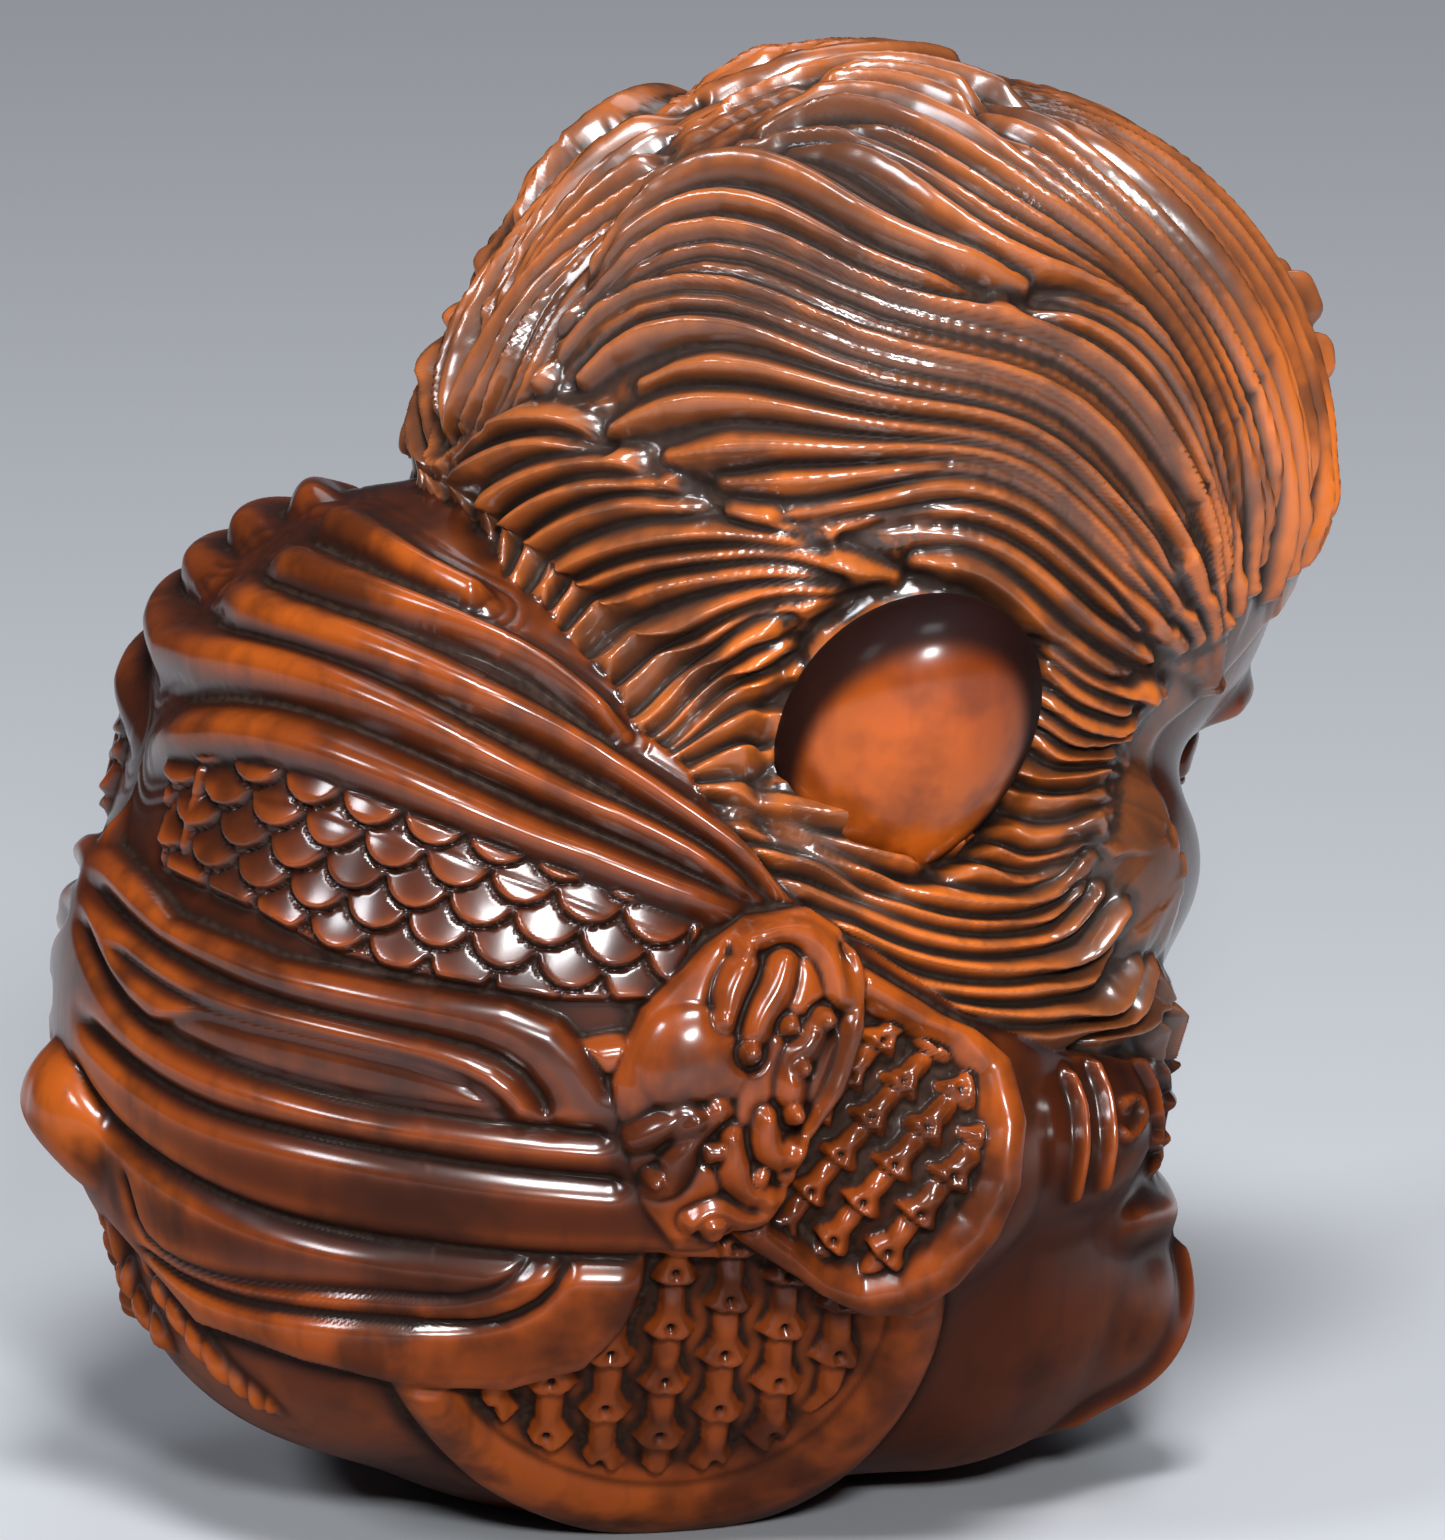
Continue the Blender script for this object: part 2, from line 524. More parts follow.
# Armour: fish scales, two round plates and the domed boss at the shoulder.
armour = {
    "flap": [(-44, 20), (-39, 22.5), (-29, 20.8), (-18, 21.8), (-14, 24.2), (-12.5, 26.6),
        (0, 26.6), (-5.5, 26.6), (-5.8, 23.8), (-7.5, 19.8), (-11.5, 15.8), (-19, 13.8), (-29, 14),
        (-39, 16.3)],
    "scales": [(-52, 76), (-47, 76), (-37, 74), (-30, 71), (-20, 67), (-10, 63), (0, 59), (-4, 52),
        (-14, 52), (-20, 53), (-30, 55), (-37, 57), (-44, 61), (-53, 65)],
    "scalePitch": 6.9,
    "scaleRow": 3.3,
    "scaleRise": 2.2,
    "scaleTurn": math.radians(16.7),
    "scaleBend": (-8, 54),  # middle and radius of the bend
    "lowerRim": (6.0, -1.2, 2.6),  # width, floor, rise
    "upperRim": (3.6, 0.4, 4.0),
    "lowerMiddle": (-4.5, 24),
    "lowerOuter": (29, 25),
    "upperPlate": [(8, 56), (16, 55), (21, 52), (26, 48.8), (29.5, 45), (31, 39.3), (30.5, 33.8),
        (28.5, 29.3), (25, 25.3), (21, 22.8), (16, 22.3), (11, 23.8), (6, 26.8), (3, 29)],
    "strips": {
        "thin strip": ([(-51, 75), (-52.5, 66.3)], 0.7, 1.4),
        "wide strip": ([(-48.4, 75.5), (-50.6, 66)], 1.1, 2.0),
    },
    "bellColumn": 5.7,
    "bellRow": 5.4,
    "bellLean": 0.1,
    "upperTurn": -0.62,
    "upperShare": 0.84,
    "boss": [(0, 57), (4, 60), (10, 61), (13, 59), (15, 55), (15, 49), (13, 43), (10, 39), (9, 35),
        (6, 31), (0, 28), (-3, 28), (-6, 32), (-8, 39), (-9, 44), (-6, 51)],
    "bossScrolls": [
        [(7, 55.8), (6.3, 52.8), (4.5, 50.3), (3.8, 47.3)],
        [(10.8, 50.3), (9.5, 48.8), (8, 45.8), (7.4, 43.3), (8, 41.5)],
        [(1, 41.8), (-1.5, 39.8), (-2.8, 37.3), (-3.5, 34.8), (-4.8, 34.6)],
        [(2, 39.3), (2.3, 36.3), (3.5, 33.8), (5.5, 33.8)],
        [(5.5, 41), (5.2, 38.3), (6.8, 37), (8.2, 38.2)],
        [(3.5, 56), (2, 52.8), (1.6, 50.3)],
        [(14, 56.3), (14.4, 51.8), (14, 46.8), (12.4, 42.8), (10.4, 39.8), (8.6, 37)],
        [(3.5, 57.2), (6, 58.6), (9.5, 58.6), (12, 55.8), (12.4, 52)],
        [(-1.5, 31.4), (1, 32.6), (4.5, 31), (7, 33.2)],
        [(-7.4, 38.6), (-4.4, 40.2), (-1.5, 41.2)],
    ],
    "bossBeads": [  # across, up, radius
        (10.8, 50.3, 1.1), (3.8, 47, 1.1), (8, 41.3, 1.0), (7.6, 49.6, 0.9), (0.3, 38, 1.0),
        (-5.2, 35.4, 0.9), (5, 35.6, 0.9), (8.6, 45.8, 0.8), (0.6, 30.6, 1.3), (2.8, 27.9, 1.5)],
    "bossBulge": (-1.6, 46.4, 5.2),
}


def scaleRise(across, up):
    turn, (middle, radius) = armour["scaleTurn"], armour["scaleBend"]
    pitch, row = armour["scalePitch"], armour["scaleRow"]
    flat = radius * np.arcsin(np.clip((across - middle) / radius, -0.95, 0.95))
    sideways = flat * math.cos(turn) - up * math.sin(turn)
    down = -flat * math.sin(turn) - up * math.cos(turn)
    reach = 0.56 * pitch
    height = np.zeros(len(across))
    taken = np.zeros(len(across), bool)
    first = np.ceil((down - reach) / row)
    for k in range(4):
        index = first + k
        shift = 0.5 * pitch * np.mod(index, 2)
        aside = np.mod(sideways - shift + pitch / 2, pitch) - pitch / 2
        ahead = down - index * row
        inside = reach - np.hypot(aside, ahead)
        here = (inside > 0) & ~taken
        rise = armour["scaleRise"] * (0.45 + 0.55 * ahead / reach) * smooth(inside, 0, 0.45)
        rise -= 0.25 * (np.abs(aside) / (pitch / 2)) ** 2
        height = np.where(here, rise, height)
        taken |= here
    return height


def bellRise(across, up):  # small flared bells with a drilled pit, in half-drop rows
    leant = across - 2.5 - armour["bellLean"] * (up - 16.3)
    column = np.round(leant / armour["bellColumn"])
    aside = np.abs(leant - column * armour["bellColumn"])
    row = armour["bellRow"]
    tall = np.mod(up - 15.1 + 0.5 * row * np.mod(column, 2) - 0.05 * aside ** 2, row)
    skirt = np.clip(1 - tall / 2.5, 0, 1)
    wide = 1.30 + 1.50 * skirt ** 1.25
    bell = (1.7 + 0.7 * skirt) * np.clip(1 - (aside / wide) ** 2, 0, 1) ** 0.42
    bell *= smooth(tall, -0.1, 0.45) * (1 - 0.5 * smooth(tall, 3.2, row))
    pit = np.exp(-(aside ** 2 + (tall - 1.15) ** 2) / 0.30)
    return bell - 1.7 * pit


def turnedBells(across, up):  # the same bells, smaller and turned to follow the upper plate
    turn, share = armour["upperTurn"], armour["upperShare"]
    x = (across - 17) * math.cos(turn) + (up - 40) * math.sin(turn)
    y = (up - 40) * math.cos(turn) - (across - 17) * math.sin(turn)
    return bellRise(x / share + 2.5, y / share + 16.3)


def plateRise(inside, rimWidth, floor, rimRise):
    rim = hump(np.abs(inside / rimWidth - 0.45), 0.45, 3)
    return floor + (rimRise - floor) * rim


def bossRise(across, up, inside):
    height = 2.4 + 2.6 * dome((1 - np.clip(inside / 7, 0, 1)) ** 2)
    x, y, size = armour["bossBulge"]
    height += 1.2 * dome(((across - x) ** 2 + (up - y) ** 2) / size ** 2)
    for line in armour["bossScrolls"]:
        away, along = flatDistance(across, up, softened(line, 10))
        thin = 0.85 + 0.3 * np.sin(math.pi * along)
        height += 1.2 * hump(away, thin, 2.4)
        height -= 0.45 * hump(away - thin - 0.6, 0.5)
    for x, y, size in armour["bossBeads"]:
        far = np.hypot(across - x, up - y)
        height += 1.1 * dome((far / size) ** 2)
        height -= 0.45 * hump(far - size - 0.3, 0.35)
    return height


def covered(height, layer, inside, end=0.2):
    return height + smooth(inside, -0.4, end) * (layer - height)


def bodyRise(points, normals, across, up):  # from the lowest layer to the highest
    def ridged(ridges, **more):
        return raised(height, ridgeRise(points, normals, ridges, **more))

    height = np.full(len(points), carving["leastRise"])
    middle, outer = armour["lowerMiddle"], armour["lowerOuter"]
    ratio = np.hypot((across - middle[0]) / outer[0], (up - middle[1]) / outer[1])
    inside = (1 - ratio) * 0.5 * (outer[0] + outer[1])
    plate = plateRise(inside, *armour["lowerRim"]) - 0.5 * hump(inside - 5.0, 0.3)
    plate += smooth(inside, 6.0, 6.5) * bellRise(across, up)
    height = covered(height, plate, inside)
    inside = insideBy(across, up, armour["upperPlate"])
    plate = plateRise(inside, *armour["upperRim"])
    plate += smooth(inside, 3.2, 3.8) * turnedBells(across, up)
    height = covered(height, plate, inside)
    height = ridged(cloth["cuffs"])
    inside = insideBy(across, up, cloth["bandEdge"])
    rounded = 1 - 0.45 * np.clip(1 - inside / 2.4, 0, 1) ** 2
    height = covered(height, rounded * bandRise(points, normals, across, up), inside, 0.3)
    inside = insideBy(across, up, armour["scales"])
    height = covered(height, 0.2 + scaleRise(across, up), inside)
    height = ridged(armour["strips"])
    height = ridged(cloth["folds"], marks=cloth["chiselMarks"])
    height = ridged(cloth["tails"], twist=cloth["tailTwist"])
    inside = insideBy(across, up, armour["boss"])
    cover = smooth(inside, -0.3, 0.3)
    return height + cover * (bossRise(across, up, inside) - height)


# Face: drawn flat on a plane that leans forward, on plain proportions.
face = {
    "middle": (0.0, -48.0, 69.0),
    "lean": math.radians(15),
    "half": (30.5, 27.0),
    "scale": 1.22,
    "depth": -0.9,
}
clasp = {
    "places": (117.0, 111.5, 106.0),
    "radii": (5.0, 2.8),
    "rise": 3.0,
}


def spot(x, y, middleX, middleY, radiusX, radiusY):
    return np.exp(-((x - middleX) / radiusX) ** 2 - ((y - middleY) / radiusY) ** 2)


def faceRise(x, y):
    x = np.abs(x)
    height = 2.0 * spot(x, y, 13, -5, 7, 7)
    height += 2.6 * spot(x, y, 0, -18.5, 6.0, 4.2)
    height -= 2.8 * spot(x, y, 8.5, 4.4, 6.5, 3.4)
    aside = np.abs(x - 8.6)
    height += 3.0 * dome((aside / 5.2) ** 2 + ((y - 3.6) / 2.5) ** 2)
    slit = 3.0 - 0.05 * aside ** 2
    height -= 0.9 * hump(y - slit, 0.35) * smooth(-aside, -4.9, -4.2)
    fold = 6.6 - 0.07 * aside ** 2
    height -= 0.6 * hump(y - fold, 0.4) * smooth(-aside, -6, -5)
    arch = 10.2 - 0.045 * (x - 7) ** 2
    height += 2.0 * hump(y - arch, 1.4) * smooth(x, 0.5, 3) * smooth(-x, -16, -12)
    bridge = smooth(-y, -8, 6) * smooth(y, -9, -6)
    nose = (2.0 + 3.2 * bridge) * hump(x, 1.8 + 1.6 * bridge)
    height += nose * smooth(y, -8.4, -6.2) * smooth(-y, -10, -6)
    height += 1.8 * spot(x, y, 2.9, -6.0, 1.7, 1.6)
    height -= 0.7 * spot(x, y, 0, -9.2, 0.8, 1.2)
    height += 1.8 * spot(x, y, 1.6, -10.3, 3.6, 1.1)
    height += 1.9 * spot(x, y, 0, -13.2, 4.6, 1.2)
    seam = -11.8 + 0.02 * x * x
    return height - 1.6 * hump(y - seam, 0.4) * smooth(-x, -6.5, -5)


def claspRise(points):
    height = np.zeros(len(points))
    wide, tall = clasp["radii"]
    for place in clasp["places"]:
        away = (np.abs(points[:, 0]) / wide) ** 4 + ((points[:, 2] - place) / tall) ** 4
        height = np.maximum(height, clasp["rise"] * dome(away))
    return np.where(points[:, 1] < -40, height, 0)


# Ear knobs: smooth drops set on the hair.
ear = {
    "place": (20.0, 79.4),
    "radii": (8.0, 12.6, 16.0),
    "lift": 3.0,
    "taper": 0.10,
    "slant": 0.2,
    "moat": 1.6,
    "moatWidth": 1.3,
    "moatRadii": (13.8, 15.6),
    "ringsRound": 64,
}


def carved(points, normals):
    across, up = drawn(points)
    fromEdge = insideBy(across, up, hair["edge"])
    isHair = smooth(fromEdge, -0.4, 0.3)
    lean = face["lean"]
    faceOut = np.array([0, -math.cos(lean), -math.sin(lean)])
    faceUp = np.array([0, -math.sin(lean), math.cos(lean)])
    offset = points - np.array(face["middle"])
    x, y = offset[:, 0], offset @ faceUp
    before = smooth(normals @ faceOut, -0.05, 0.15) * smooth(offset @ faceOut, -30, -22)
    ratio = np.hypot(x / face["half"][0], y / face["half"][1])
    isFace = smooth(-ratio, -1.03, -0.98) * before
    seen = smooth(normals @ viewAxes("side")[2], -0.35, 0.0)
    least = carving["leastRise"]
    height = least + seen * (bodyRise(points, normals, across, up) - least)
    ahead = smooth(-normals[:, 1], 0.05, 0.35)
    ahead *= ridgeRise(points, normals, cloth["front"], "front")
    height = np.where(ahead > 0.05, np.maximum(height, least + ahead), height)
    locks, gap = hairRise(points, normals)
    locks += 1.0 - hair["tucked"] * (1 - smooth(fromEdge, 0, 5))
    wide, tall = ear["moatRadii"]
    aside = across - ear["place"][0] - ear["slant"] * (up - ear["place"][1])
    rim = np.hypot(aside / wide, (up - ear["place"][1] + 0.9) / tall)
    locks -= ear["moat"] * hump((rim - 1) * wide, ear["moatWidth"])
    height += isHair * (locks - height)
    height += isFace * (faceRise(x / face["scale"], y / face["scale"]) + face["depth"]
                        - height)
    region = np.where(isFace > 0.5, 2, np.where(isHair > 0.5, 1, 0))
    return height + claspRise(points), region, np.where(region == 1, gap, 0)


def halfBall(cells):  # half a ball in even squares, as directions and faces, x never above 0
    full = np.linspace(-math.pi / 4, math.pi / 4, cells + 1)
    half = np.linspace(-math.pi / 4, 0, cells // 2 + 1)
    a, b = np.meshgrid(np.tan(full), np.tan(full), indexing="ij")
    sheets = [(-np.ones_like(a), a, b)]
    a, b = np.meshgrid(np.tan(half), np.tan(full), indexing="ij")
    one = np.ones_like(a)
    sheets += [(a, one, b), (a, -one, b), (a, b, one), (a, b, -one)]
    points, faces, base = [], [], 0
    for sheet in sheets:
        grid = np.stack(sheet, -1)
        rows, columns = grid.shape[:2]
        index = base + np.arange(rows * columns).reshape(rows, columns)
        quads = np.stack([index[:-1, :-1], index[1:, :-1], index[1:, 1:], index[:-1, 1:]], -1)
        points.append(grid.reshape(-1, 3))
        faces.append(quads.reshape(-1, 4))
        base += rows * columns
    points, faces = np.concatenate(points), np.concatenate(faces)
    points = points / np.linalg.norm(points, axis=1, keepdims=True)
    keys = np.round(points * 1e6).astype(np.int64)
    _, first, back = np.unique(keys, axis=0, return_index=True, return_inverse=True)
    points, faces = points[first], back.reshape(-1)[faces]
    corner = points[faces]
    turned = np.cross(corner[:, 1] - corner[:, 0], corner[:, 2] - corner[:, 0])
    inward = (turned * corner.mean(1)).sum(1) < 0
    faces[inward] = faces[inward][:, ::-1]
    return points, faces


def mirrored(points, faces):  # the other half, sharing the points on the middle plane
    onMiddle = np.abs(points[:, 0]) < 1e-6
    points[onMiddle, 0] = 0
    other = np.where(onMiddle, np.arange(len(points)), 0)
    other[~onMiddle] = len(points) + np.arange((~onMiddle).sum())
    allPoints = np.concatenate([points, points[~onMiddle] * np.array([-1.0, 1, 1])])
    return allPoints, np.concatenate([faces, other[faces][:, ::-1]]), ~onMiddle


def smoothedNormals(points, faces):
    corner = points[faces]
    turned = np.cross(corner[:, 2] - corner[:, 0], corner[:, 3] - corner[:, 1])
    total = np.stack([np.bincount(faces.ravel(), np.repeat(turned[:, k], 4), len(points))
                      for k in range(3)], -1)
    return total / np.maximum(np.linalg.norm(total, axis=1, keepdims=True), 1e-12)


def sidesOf(faces):
    return np.concatenate([faces[:, [k, (k + 1) % 4]] for k in range(4)])


def evened(values, faces, keep=0.62):  # one light pass, so that no cell stands alone
    ends = sidesOf(faces)
    ends = np.concatenate([ends, ends[:, ::-1]])
    total = np.bincount(ends[:, 0], values[ends[:, 1]], len(values))
    return keep * values + (1 - keep) * total / np.bincount(ends[:, 0], minlength=len(values))


def hollows(points, faces, normals, passes):  # how far each point lies below its surroundings
    start, end = sidesOf(faces).T
    count = np.maximum(np.bincount(start, minlength=len(points)), 1)[:, None]
    eased = points
    for _ in range(passes):
        eased = 0.3 * eased + 0.7 * np.stack(
            [np.bincount(start, eased[end, k], len(points)) for k in range(3)], -1) / count
    return ((eased - points) * normals).sum(1)


print("carving the block")
cells = carving["cellsAcross"]
directions, halfFaces = halfBall(cells)
base = onBlock(directions)
baseNormals = blockNormal(base)
baseNormals[np.abs(directions[:, 0]) < 1e-6, 0] = 0
heights, halfRegion, halfGap = carved(base, baseNormals)
heights = evened(heights, halfFaces)
heights = np.where(halfRegion == 1, evened(heights, halfFaces), heights)
halfGap = evened(halfGap, halfFaces)
halfPoints = base + baseNormals * heights[:, None]
halfPoints[:, 2] = np.maximum(halfPoints[:, 2], 0)
halfPoints[:, 0] = np.minimum(halfPoints[:, 0], 0)
halfPoints[np.abs(directions[:, 0]) < 1e-6, 0] = 0
points, faces, kept = mirrored(halfPoints, halfFaces)
region = np.concatenate([halfRegion, halfRegion[kept]])
normals = smoothedNormals(points, faces)
fineHollow = hollows(points, faces, normals, 4)
wideHollow = hollows(points, faces, normals, 26)
relief = np.concatenate([heights, heights[kept]])
gap = np.concatenate([halfGap, halfGap[kept]])
print("points", len(points), "faces", len(faces))


# Boxwood: orange-brown and glossy where hands polish it, dark and dusty in the cuts.
wood = {
    "cut": (0.014, 0.007, 0.005),
    "dust": (0.034, 0.018, 0.012),
    "polished": 0.34,
    "dry": 0.70,
    "coatRoughness": 0.19,
    "bump": 0.22,
    "bumpDepth": 0.00012,
    "grainSize": 900.0,
    "mottleSize": 210.0,
    "patchSize": 52.0,
    "speckSize": 2600.0,
}
tones = {  # ridge, flank, deep, stain, glow, share that glows, specular level, coat
    "hair": ((0.270, 0.075, 0.019), (0.090, 0.027, 0.009), (0.010, 0.005, 0.003),
             (0.055, 0.022, 0.012), (0.560, 0.128, 0.014), 0.65, 0.16, 1.0),
    "cloth": ((0.190, 0.036, 0.005), (0.036, 0.007, 0.002), (0.005, 0.002, 0.001),
              (0.020, 0.005, 0.002), (0.340, 0.068, 0.006), 0.65, 0.08, 0.85),
    "ear": ((0.360, 0.060, 0.003), (0.050, 0.008, 0.001), (0.004, 0.001, 0.001),
            (0.110, 0.016, 0.001), (0.520, 0.106, 0.006), 0.75, 0.08, 0.75),
}


def boxwood(name, tone):
    ridge, flank, deep, stain, glow, glowing, specular, coat = tones[tone]
    made = bpy.data.materials.new(name)
    made.use_nodes = True
    nodes, link = made.node_tree.nodes, made.node_tree.links.new
    surface = nodes["Principled BSDF"]
    surface.inputs["Specular IOR Level"].default_value = specular
    surface.inputs["Coat Roughness"].default_value = wood["coatRoughness"]
    place = nodes.new("ShaderNodeTexCoord").outputs["Object"]

    def attribute(title):
        node = nodes.new("ShaderNodeAttribute")
        node.attribute_name = title
        return node.outputs["Fac"]

    def ramp(value, start, end, low=0.0, high=1.0):
        node = nodes.new("ShaderNodeMapRange")
        node.interpolation_type = "SMOOTHSTEP"
        for key, number in zip(("From Min", "From Max", "To Min", "To Max"),
                               (start, end, low, high)):
            node.inputs[key].default_value = number
        link(value, node.inputs["Value"])
        return node.outputs["Result"]

    def feed(socket, value):  # a number, a colour or another node's result
        if isinstance(value, bpy.types.NodeSocket):
            link(value, socket)
        else:
            socket.default_value = (*value, 1) if isinstance(value, tuple) else value

    def blend(share, first, second):
        node = nodes.new("ShaderNodeMix")
        node.data_type = "RGBA"
        link(share, node.inputs["Factor"])
        feed(node.inputs["A"], first)
        feed(node.inputs["B"], second)
        return node.outputs["Result"]

    def sums(kind, first, second):
        node = nodes.new("ShaderNodeMath")
        node.operation = kind
        feed(node.inputs[0], first)
        feed(node.inputs[1], second)
        return node.outputs[0]

    def noise(scale, detail=3.0, stretch=(1, 1, 1)):
        mapping = nodes.new("ShaderNodeMapping")
        mapping.inputs["Scale"].default_value = stretch
        link(place, mapping.inputs["Vector"])
        node = nodes.new("ShaderNodeTexNoise")
        node.inputs["Scale"].default_value = scale
        node.inputs["Detail"].default_value = detail
        link(mapping.outputs["Vector"], node.inputs["Vector"])
        return node.outputs["Fac"]

    mottle = noise(wood["mottleSize"], 4.0)
    patch = noise(wood["patchSize"], 3.0)
    grain = noise(wood["grainSize"], 3.0, (1, 1, 0.18))
    specks = noise(wood["speckSize"], 2.0)
    cut, shade, dust, worn, low = (
        attribute(title) for title in ("cut", "shade", "dust", "worn", "low"))
    colour = blend(ramp(worn, 0.1, 0.85), flank, ridge)
    lively = sums("MULTIPLY", ramp(patch, 0.45, 0.62, 0.0, glowing), ramp(worn, 0.0, 0.5))
    colour = blend(lively, colour, glow)
    colour = blend(ramp(mottle, 0.44, 0.66, 0.0, 0.80), colour, stain)
    colour = blend(ramp(grain, 0.48, 0.72, 0.0, 0.30), colour, stain)
    colour = blend(ramp(shade, 0.28, 0.75, 0.0, 0.95), colour, deep)
    settled = sums("MULTIPLY", ramp(dust, 0.12, 0.75), ramp(specks, 0.35, 0.62, 0.3, 1.0))
    colour = blend(settled, colour, wood["dust"])
    colour = blend(ramp(cut, 0.25, 0.95), colour, wood["cut"])
    link(colour, surface.inputs["Base Color"])
    rough = sums("ADD", ramp(shade, 0.2, 0.8, wood["polished"], wood["dry"]),
                 ramp(mottle, 0.4, 0.8, 0.0, 0.10))
    link(sums("ADD", rough, ramp(low, 0.0, 1.0, 0.0, 0.2)), surface.inputs["Roughness"])
    gloss = sums("MULTIPLY", ramp(low, 0.0, 1.0, coat, 0.04),
                 ramp(shade, 0.28, 0.75, 1.0, 0.04))
    link(gloss, surface.inputs["Coat Weight"])
    bump = nodes.new("ShaderNodeBump")
    bump.inputs["Strength"].default_value = wood["bump"]
    bump.inputs["Distance"].default_value = wood["bumpDepth"]
    relief = sums("ADD", grain, sums("MULTIPLY", specks, ramp(dust, 0.1, 0.8, 0.15, 1.2)))
    link(relief, bump.inputs["Height"])
    link(bump.outputs["Normal"], surface.inputs["Normal"])
    return made


# Wear: how much hands have polished each part.
handling = {
    "lowerPlate": 1.4,
    "bandEdge": 0.0,
    "flap": 0.8,
    "upperPlate": 1.0,
    "boss": 1.2,
    "everywhere": 0.20,
    "handled": 0.46,
}


def finish(made, material, wear):
    made.data.materials.append(material)
    for title, values in wear.items():
        layer = made.data.attributes.new(title, "FLOAT", "POINT")
        layer.data.foreach_set("value", values.astype(np.float32))
    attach(made, "root")
    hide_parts("figurine")


def makePiece(name, chosen, material):
    used = np.unique(faces[chosen])
    renumber = np.zeros(len(points), np.int64)
    renumber[used] = np.arange(len(used))
    quads = renumber[faces[chosen]]
    mesh = bpy.data.meshes.new(name)
    mesh.vertices.add(len(used))
    mesh.vertices.foreach_set("co", (points[used] * unit).astype(np.float32).ravel())
    mesh.loops.add(quads.size)
    mesh.loops.foreach_set("vertex_index", quads.astype(np.int32).ravel())
    mesh.polygons.add(len(quads))
    mesh.polygons.foreach_set("loop_start", np.arange(0, quads.size, 4, dtype=np.int32))
    mesh.update()
    mesh.shade_smooth()
    mesh.normals_split_custom_set_from_vertices(normals[used])
    made = bpy.data.objects.new(name, mesh)
    bpy.context.scene.collection.objects.link(made)
    finish(made, material, {title: values[used] for title, values in surfaceWear.items()})
    print(name, "of", 2 * len(quads), "triangles")


seenAcross, seenUp = drawn(folded(points))
handled = np.hypot((seenAcross - armour["lowerMiddle"][0]) / armour["lowerOuter"][0],
                   (seenUp - armour["lowerMiddle"][1]) / armour["lowerOuter"][1])
handled = handling["lowerPlate"] * smooth(-handled, -1.03, -0.98)
for part in ("bandEdge", "flap", "upperPlate", "boss"):
    cover = smooth(insideBy(seenAcross, seenUp, (cloth | armour)[part]), -0.4, 0.4)
    handled = handled * (1 - cover) + handling[part] * cover
handled *= (region == 0) & (folded(normals) @ viewAxes("side")[2] > -0.2)
surfaceWear = {
    "cut": np.where(region == 1, np.clip(0.62 * gap + fineHollow / 0.9, 0, 1),
                    np.clip(fineHollow / 0.30, 0, 1)),
    "shade": np.clip(0.25 + wideHollow / 0.9, 0, 1),
    "dust": np.where(region == 1, np.clip(gap + wideHollow / 1.5, 0, 1),
                     np.clip(wideHollow / 0.9, 0, 1) * np.clip((2.4 - relief) / 1.6, 0, 1)),
    "worn": np.clip(handling["everywhere"] + handling["handled"] * handled
                    - wideHollow / 0.9, 0, 1),
    "low": smooth(-normals[:, 2], -0.35, 0.3) * smooth(-points[:, 2], -60, -40),
}
hairWood = boxwood("boxwoodHair", "hair")
clothWood = boxwood("boxwoodRobe", "cloth")
earWood = boxwood("boxwoodEar", "ear")
faceRegion = region[faces].max(1)
middles = points[faces].mean(1)
for side, onSide in (("Right", middles[:, 0] < 0), ("Left", middles[:, 0] >= 0)):
    isHigh = middles[:, 2] > carving["crownFrom"]
    makePiece("crown" + side, (faceRegion == 1) & onSide & isHigh, hairWood)
    makePiece("hair" + side, (faceRegion == 1) & onSide & ~isHigh, hairWood)
    isCloak = middles[:, 2] > carving["cloakFrom"]
    makePiece("cloak" + side, (faceRegion == 0) & onSide & isCloak, clothWood)
    makePiece("robe" + side, (faceRegion == 0) & onSide & ~isCloak, clothWood)
makePiece("face", faceRegion == 2, clothWood)


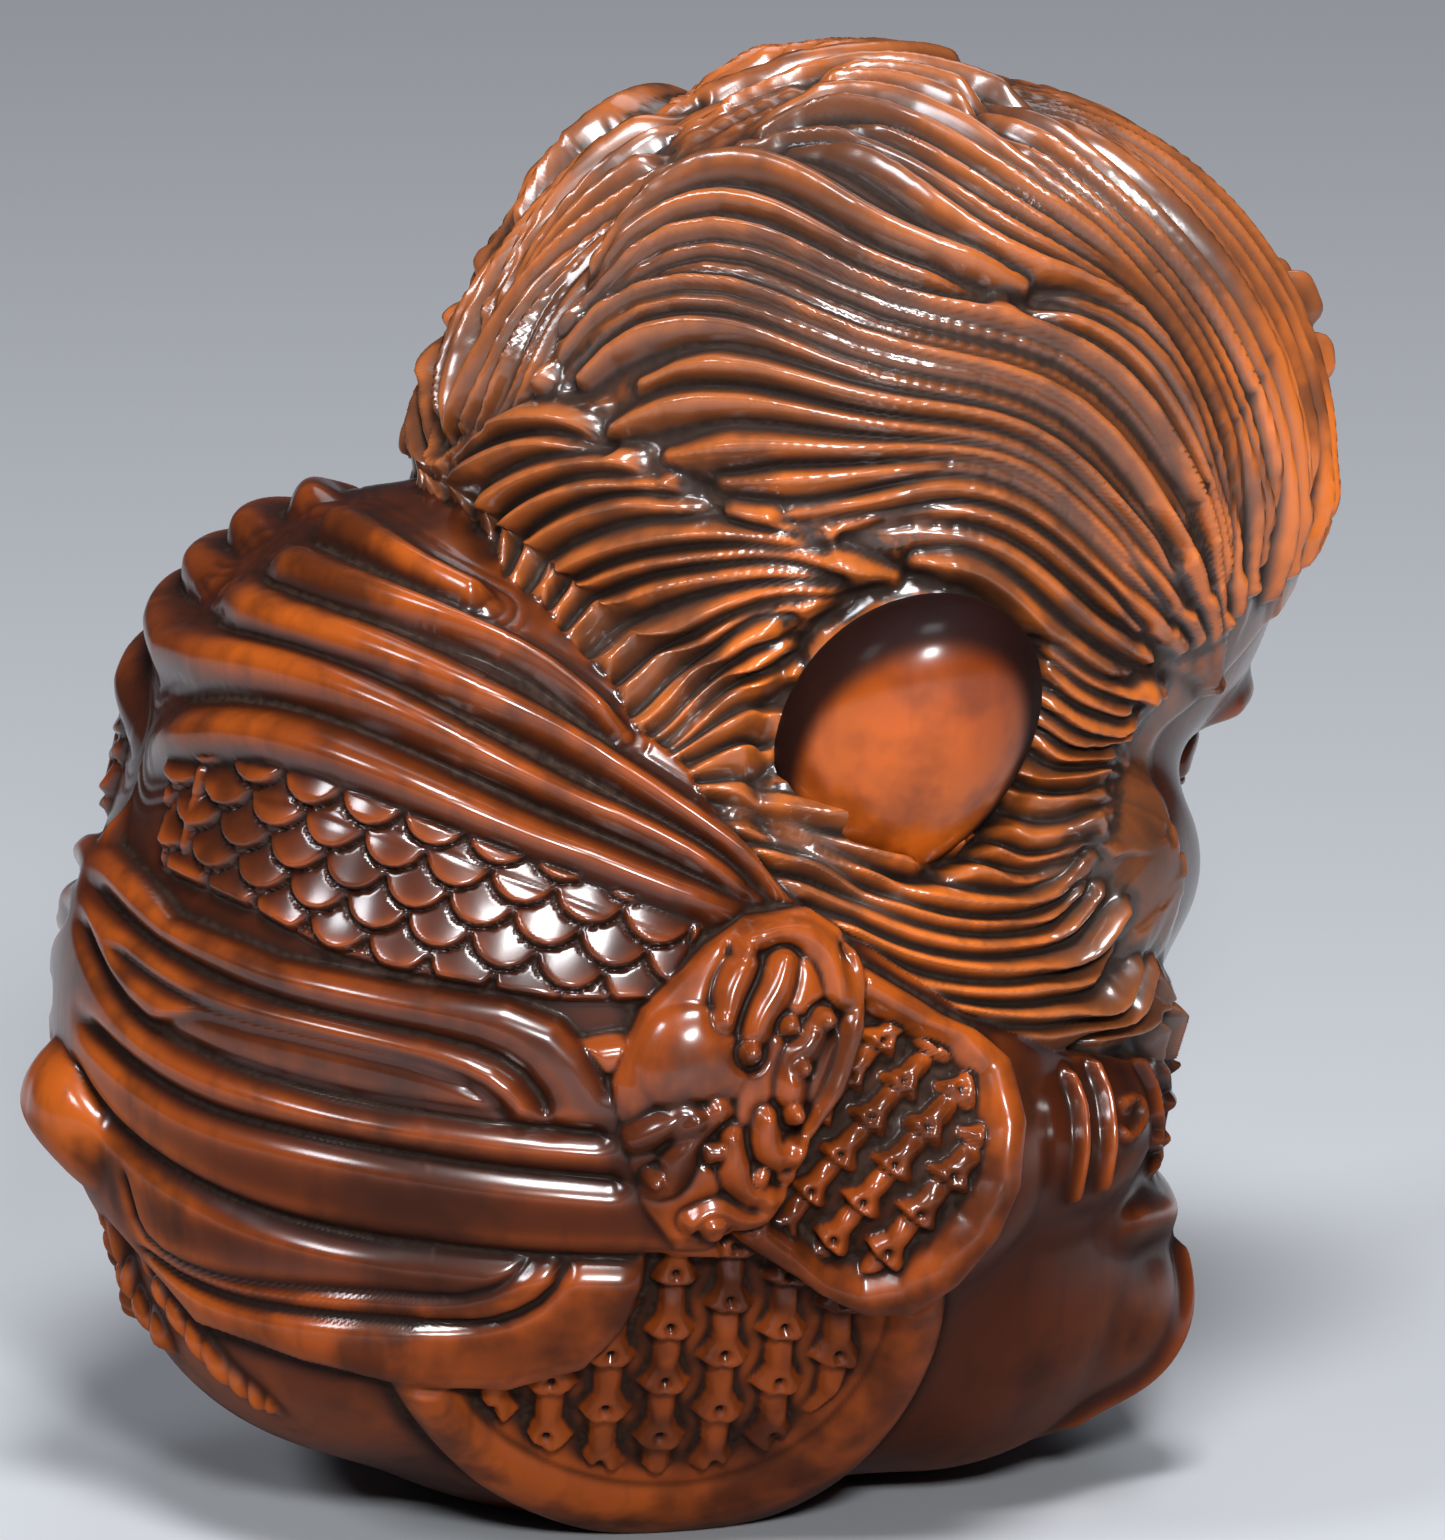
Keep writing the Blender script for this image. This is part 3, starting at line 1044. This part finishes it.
def makeEar(name, mirror):
    place = np.array([ear["place"], (ear["place"][0], ear["place"][1] - 1)], float)
    middle = laidOn([place])[0][:1]
    out = blockNormal(middle)[0]
    ahead = np.cross([0, 0, 1.0], out)
    ahead /= np.linalg.norm(ahead)
    upright = np.cross(out, ahead)
    bpy.ops.mesh.primitive_uv_sphere_add(segments=ear["ringsRound"],
                                         ring_count=ear["ringsRound"] // 2, radius=1)
    made = bpy.context.object
    made.name = made.data.name = name
    ball = np.empty(len(made.data.vertices) * 3)
    made.data.vertices.foreach_get("co", ball)
    ball = ball.reshape(-1, 3)
    wider = 1 + ear["taper"] * ball[:, 2]
    local = ball * np.array(ear["radii"]) * np.stack([wider, wider, np.ones(len(ball))], -1)
    local[:, 1] += ear["slant"] * local[:, 2]
    placed = middle[0] + out * (ear["lift"] + local[:, :1]) + ahead * local[:, 1:2] + (
        upright * local[:, 2:])
    placed[:, 0] *= mirror
    made.data.vertices.foreach_set("co", (placed * unit).astype(np.float32).ravel())
    if mirror < 0:
        made.data.flip_normals()
    made.data.shade_smooth()
    sunk = smooth(-ball[:, 0], -0.20, 0.5)
    under = smooth(ball[:, 1] - 0.5 * ball[:, 2], 0.72, 1.1)
    topped = smooth(ball[:, 2] - 0.3 * ball[:, 1], 0.35, 1.0)
    fromMiddle = np.hypot(ball[:, 1], ball[:, 2])
    rim = 0.85 * smooth(fromMiddle, 0.62, 1.0)
    finish(made, earWood, {
        "cut": np.maximum(sunk, 0.6 * under),
        "shade": np.maximum.reduce([sunk, 0.4 * topped, 0.8 * under, rim]),
        "dust": sunk * 0,
        "low": sunk * 0,
        "worn": 0.95 - 0.8 * fromMiddle ** 1.5,
    })


makeEar("earRight", 1)
makeEar("earLeft", -1)
print("figure dressed")


# Room: pale floor, soft light, and the camera where the drawing's eye is.
room = {
    "floorSize": 6.0,
    "floorColour": (0.40, 0.41, 0.43, 1),
    "floorRoughness": 0.7,
    "aimHeight": 0.03,
    "skyColour": (0.55, 0.66, 0.80, 1),
    "skyStrength": 0.045,
    "lights": {  # turn to the right and rise from the camera's line, distance, size, power
        "key": (4, 44, 0.60, 0.14, 4.7, (0.98, 0.98, 1.0)),
        "window": (-50, 24, 0.60, 0.12, 1.6, (0.90, 0.94, 1.0)),
        "flash": (6, 12, 0.60, 0.07, 3.4, (0.95, 0.98, 1.0)),
        "back": (165, 55, 0.80, 0.40, 1.4, (0.9, 0.95, 1.0)),
    },
}
lens = {
    "pixelsTall": 1540,
    "unitPixels": 10.0,
    "framedMiddle": (2.25, 74.8),
    "sensor": 24.0,
    "nearest": 0.01,
}


def makeRoom():
    bpy.ops.mesh.primitive_plane_add(size=room["floorSize"])
    floor = bpy.context.object
    floor.name = "floor"
    paint = bpy.data.materials.new("floorPaint")
    paint.use_nodes = True
    coating = paint.node_tree.nodes["Principled BSDF"]
    coating.inputs["Base Color"].default_value = room["floorColour"]
    coating.inputs["Roughness"].default_value = room["floorRoughness"]
    floor.data.materials.append(paint)
    world = bpy.data.worlds.new("studio")
    world.use_nodes = True
    sky = world.node_tree.nodes["Background"]
    sky.inputs["Color"].default_value = room["skyColour"]
    sky.inputs["Strength"].default_value = room["skyStrength"]
    bpy.context.scene.world = world
    aim = Vector((0, 0, room["aimHeight"]))
    turned, risen = views["side"][:2]
    for name, (turn, rise, far, size, power, colour) in room["lights"].items():
        lamp = bpy.data.lights.new(name, "AREA")
        lamp.size, lamp.energy, lamp.color = size, power, colour
        holder = bpy.data.objects.new(name, lamp)
        turn, rise = turned + math.radians(turn), risen + math.radians(rise)
        place = aim + far * Vector((math.sin(turn) * math.cos(rise),
                                    -math.cos(turn) * math.cos(rise), math.sin(rise)))
        holder.location = place
        holder.rotation_euler = (aim - place).to_track_quat("-Z", "Y").to_euler()
        bpy.context.scene.collection.objects.link(holder)


def makeCamera():
    across, up, towards = (Vector(axis) for axis in viewAxes("side"))
    eye, middleUp = views["side"][2:]
    camera = bpy.data.cameras.new("camera")
    holder = bpy.data.objects.new("camera", camera)
    bpy.context.scene.collection.objects.link(holder)
    place = Matrix((across, up, towards)).transposed().to_4x4()
    place.translation = (Vector(viewMiddle) + towards * eye) * unit
    holder.matrix_world = place
    tall = lens["pixelsTall"] / lens["unitPixels"]
    camera.sensor_width = camera.sensor_height = lens["sensor"]
    camera.lens = lens["sensor"] * eye / tall
    camera.shift_x = lens["framedMiddle"][0] / tall
    camera.shift_y = (lens["framedMiddle"][1] - middleUp) / tall
    camera.clip_start = lens["nearest"]
    bpy.context.scene.camera = holder


makeRoom()
makeCamera()
bpy.context.scene.view_settings.view_transform = "Standard"
print("room and camera set")
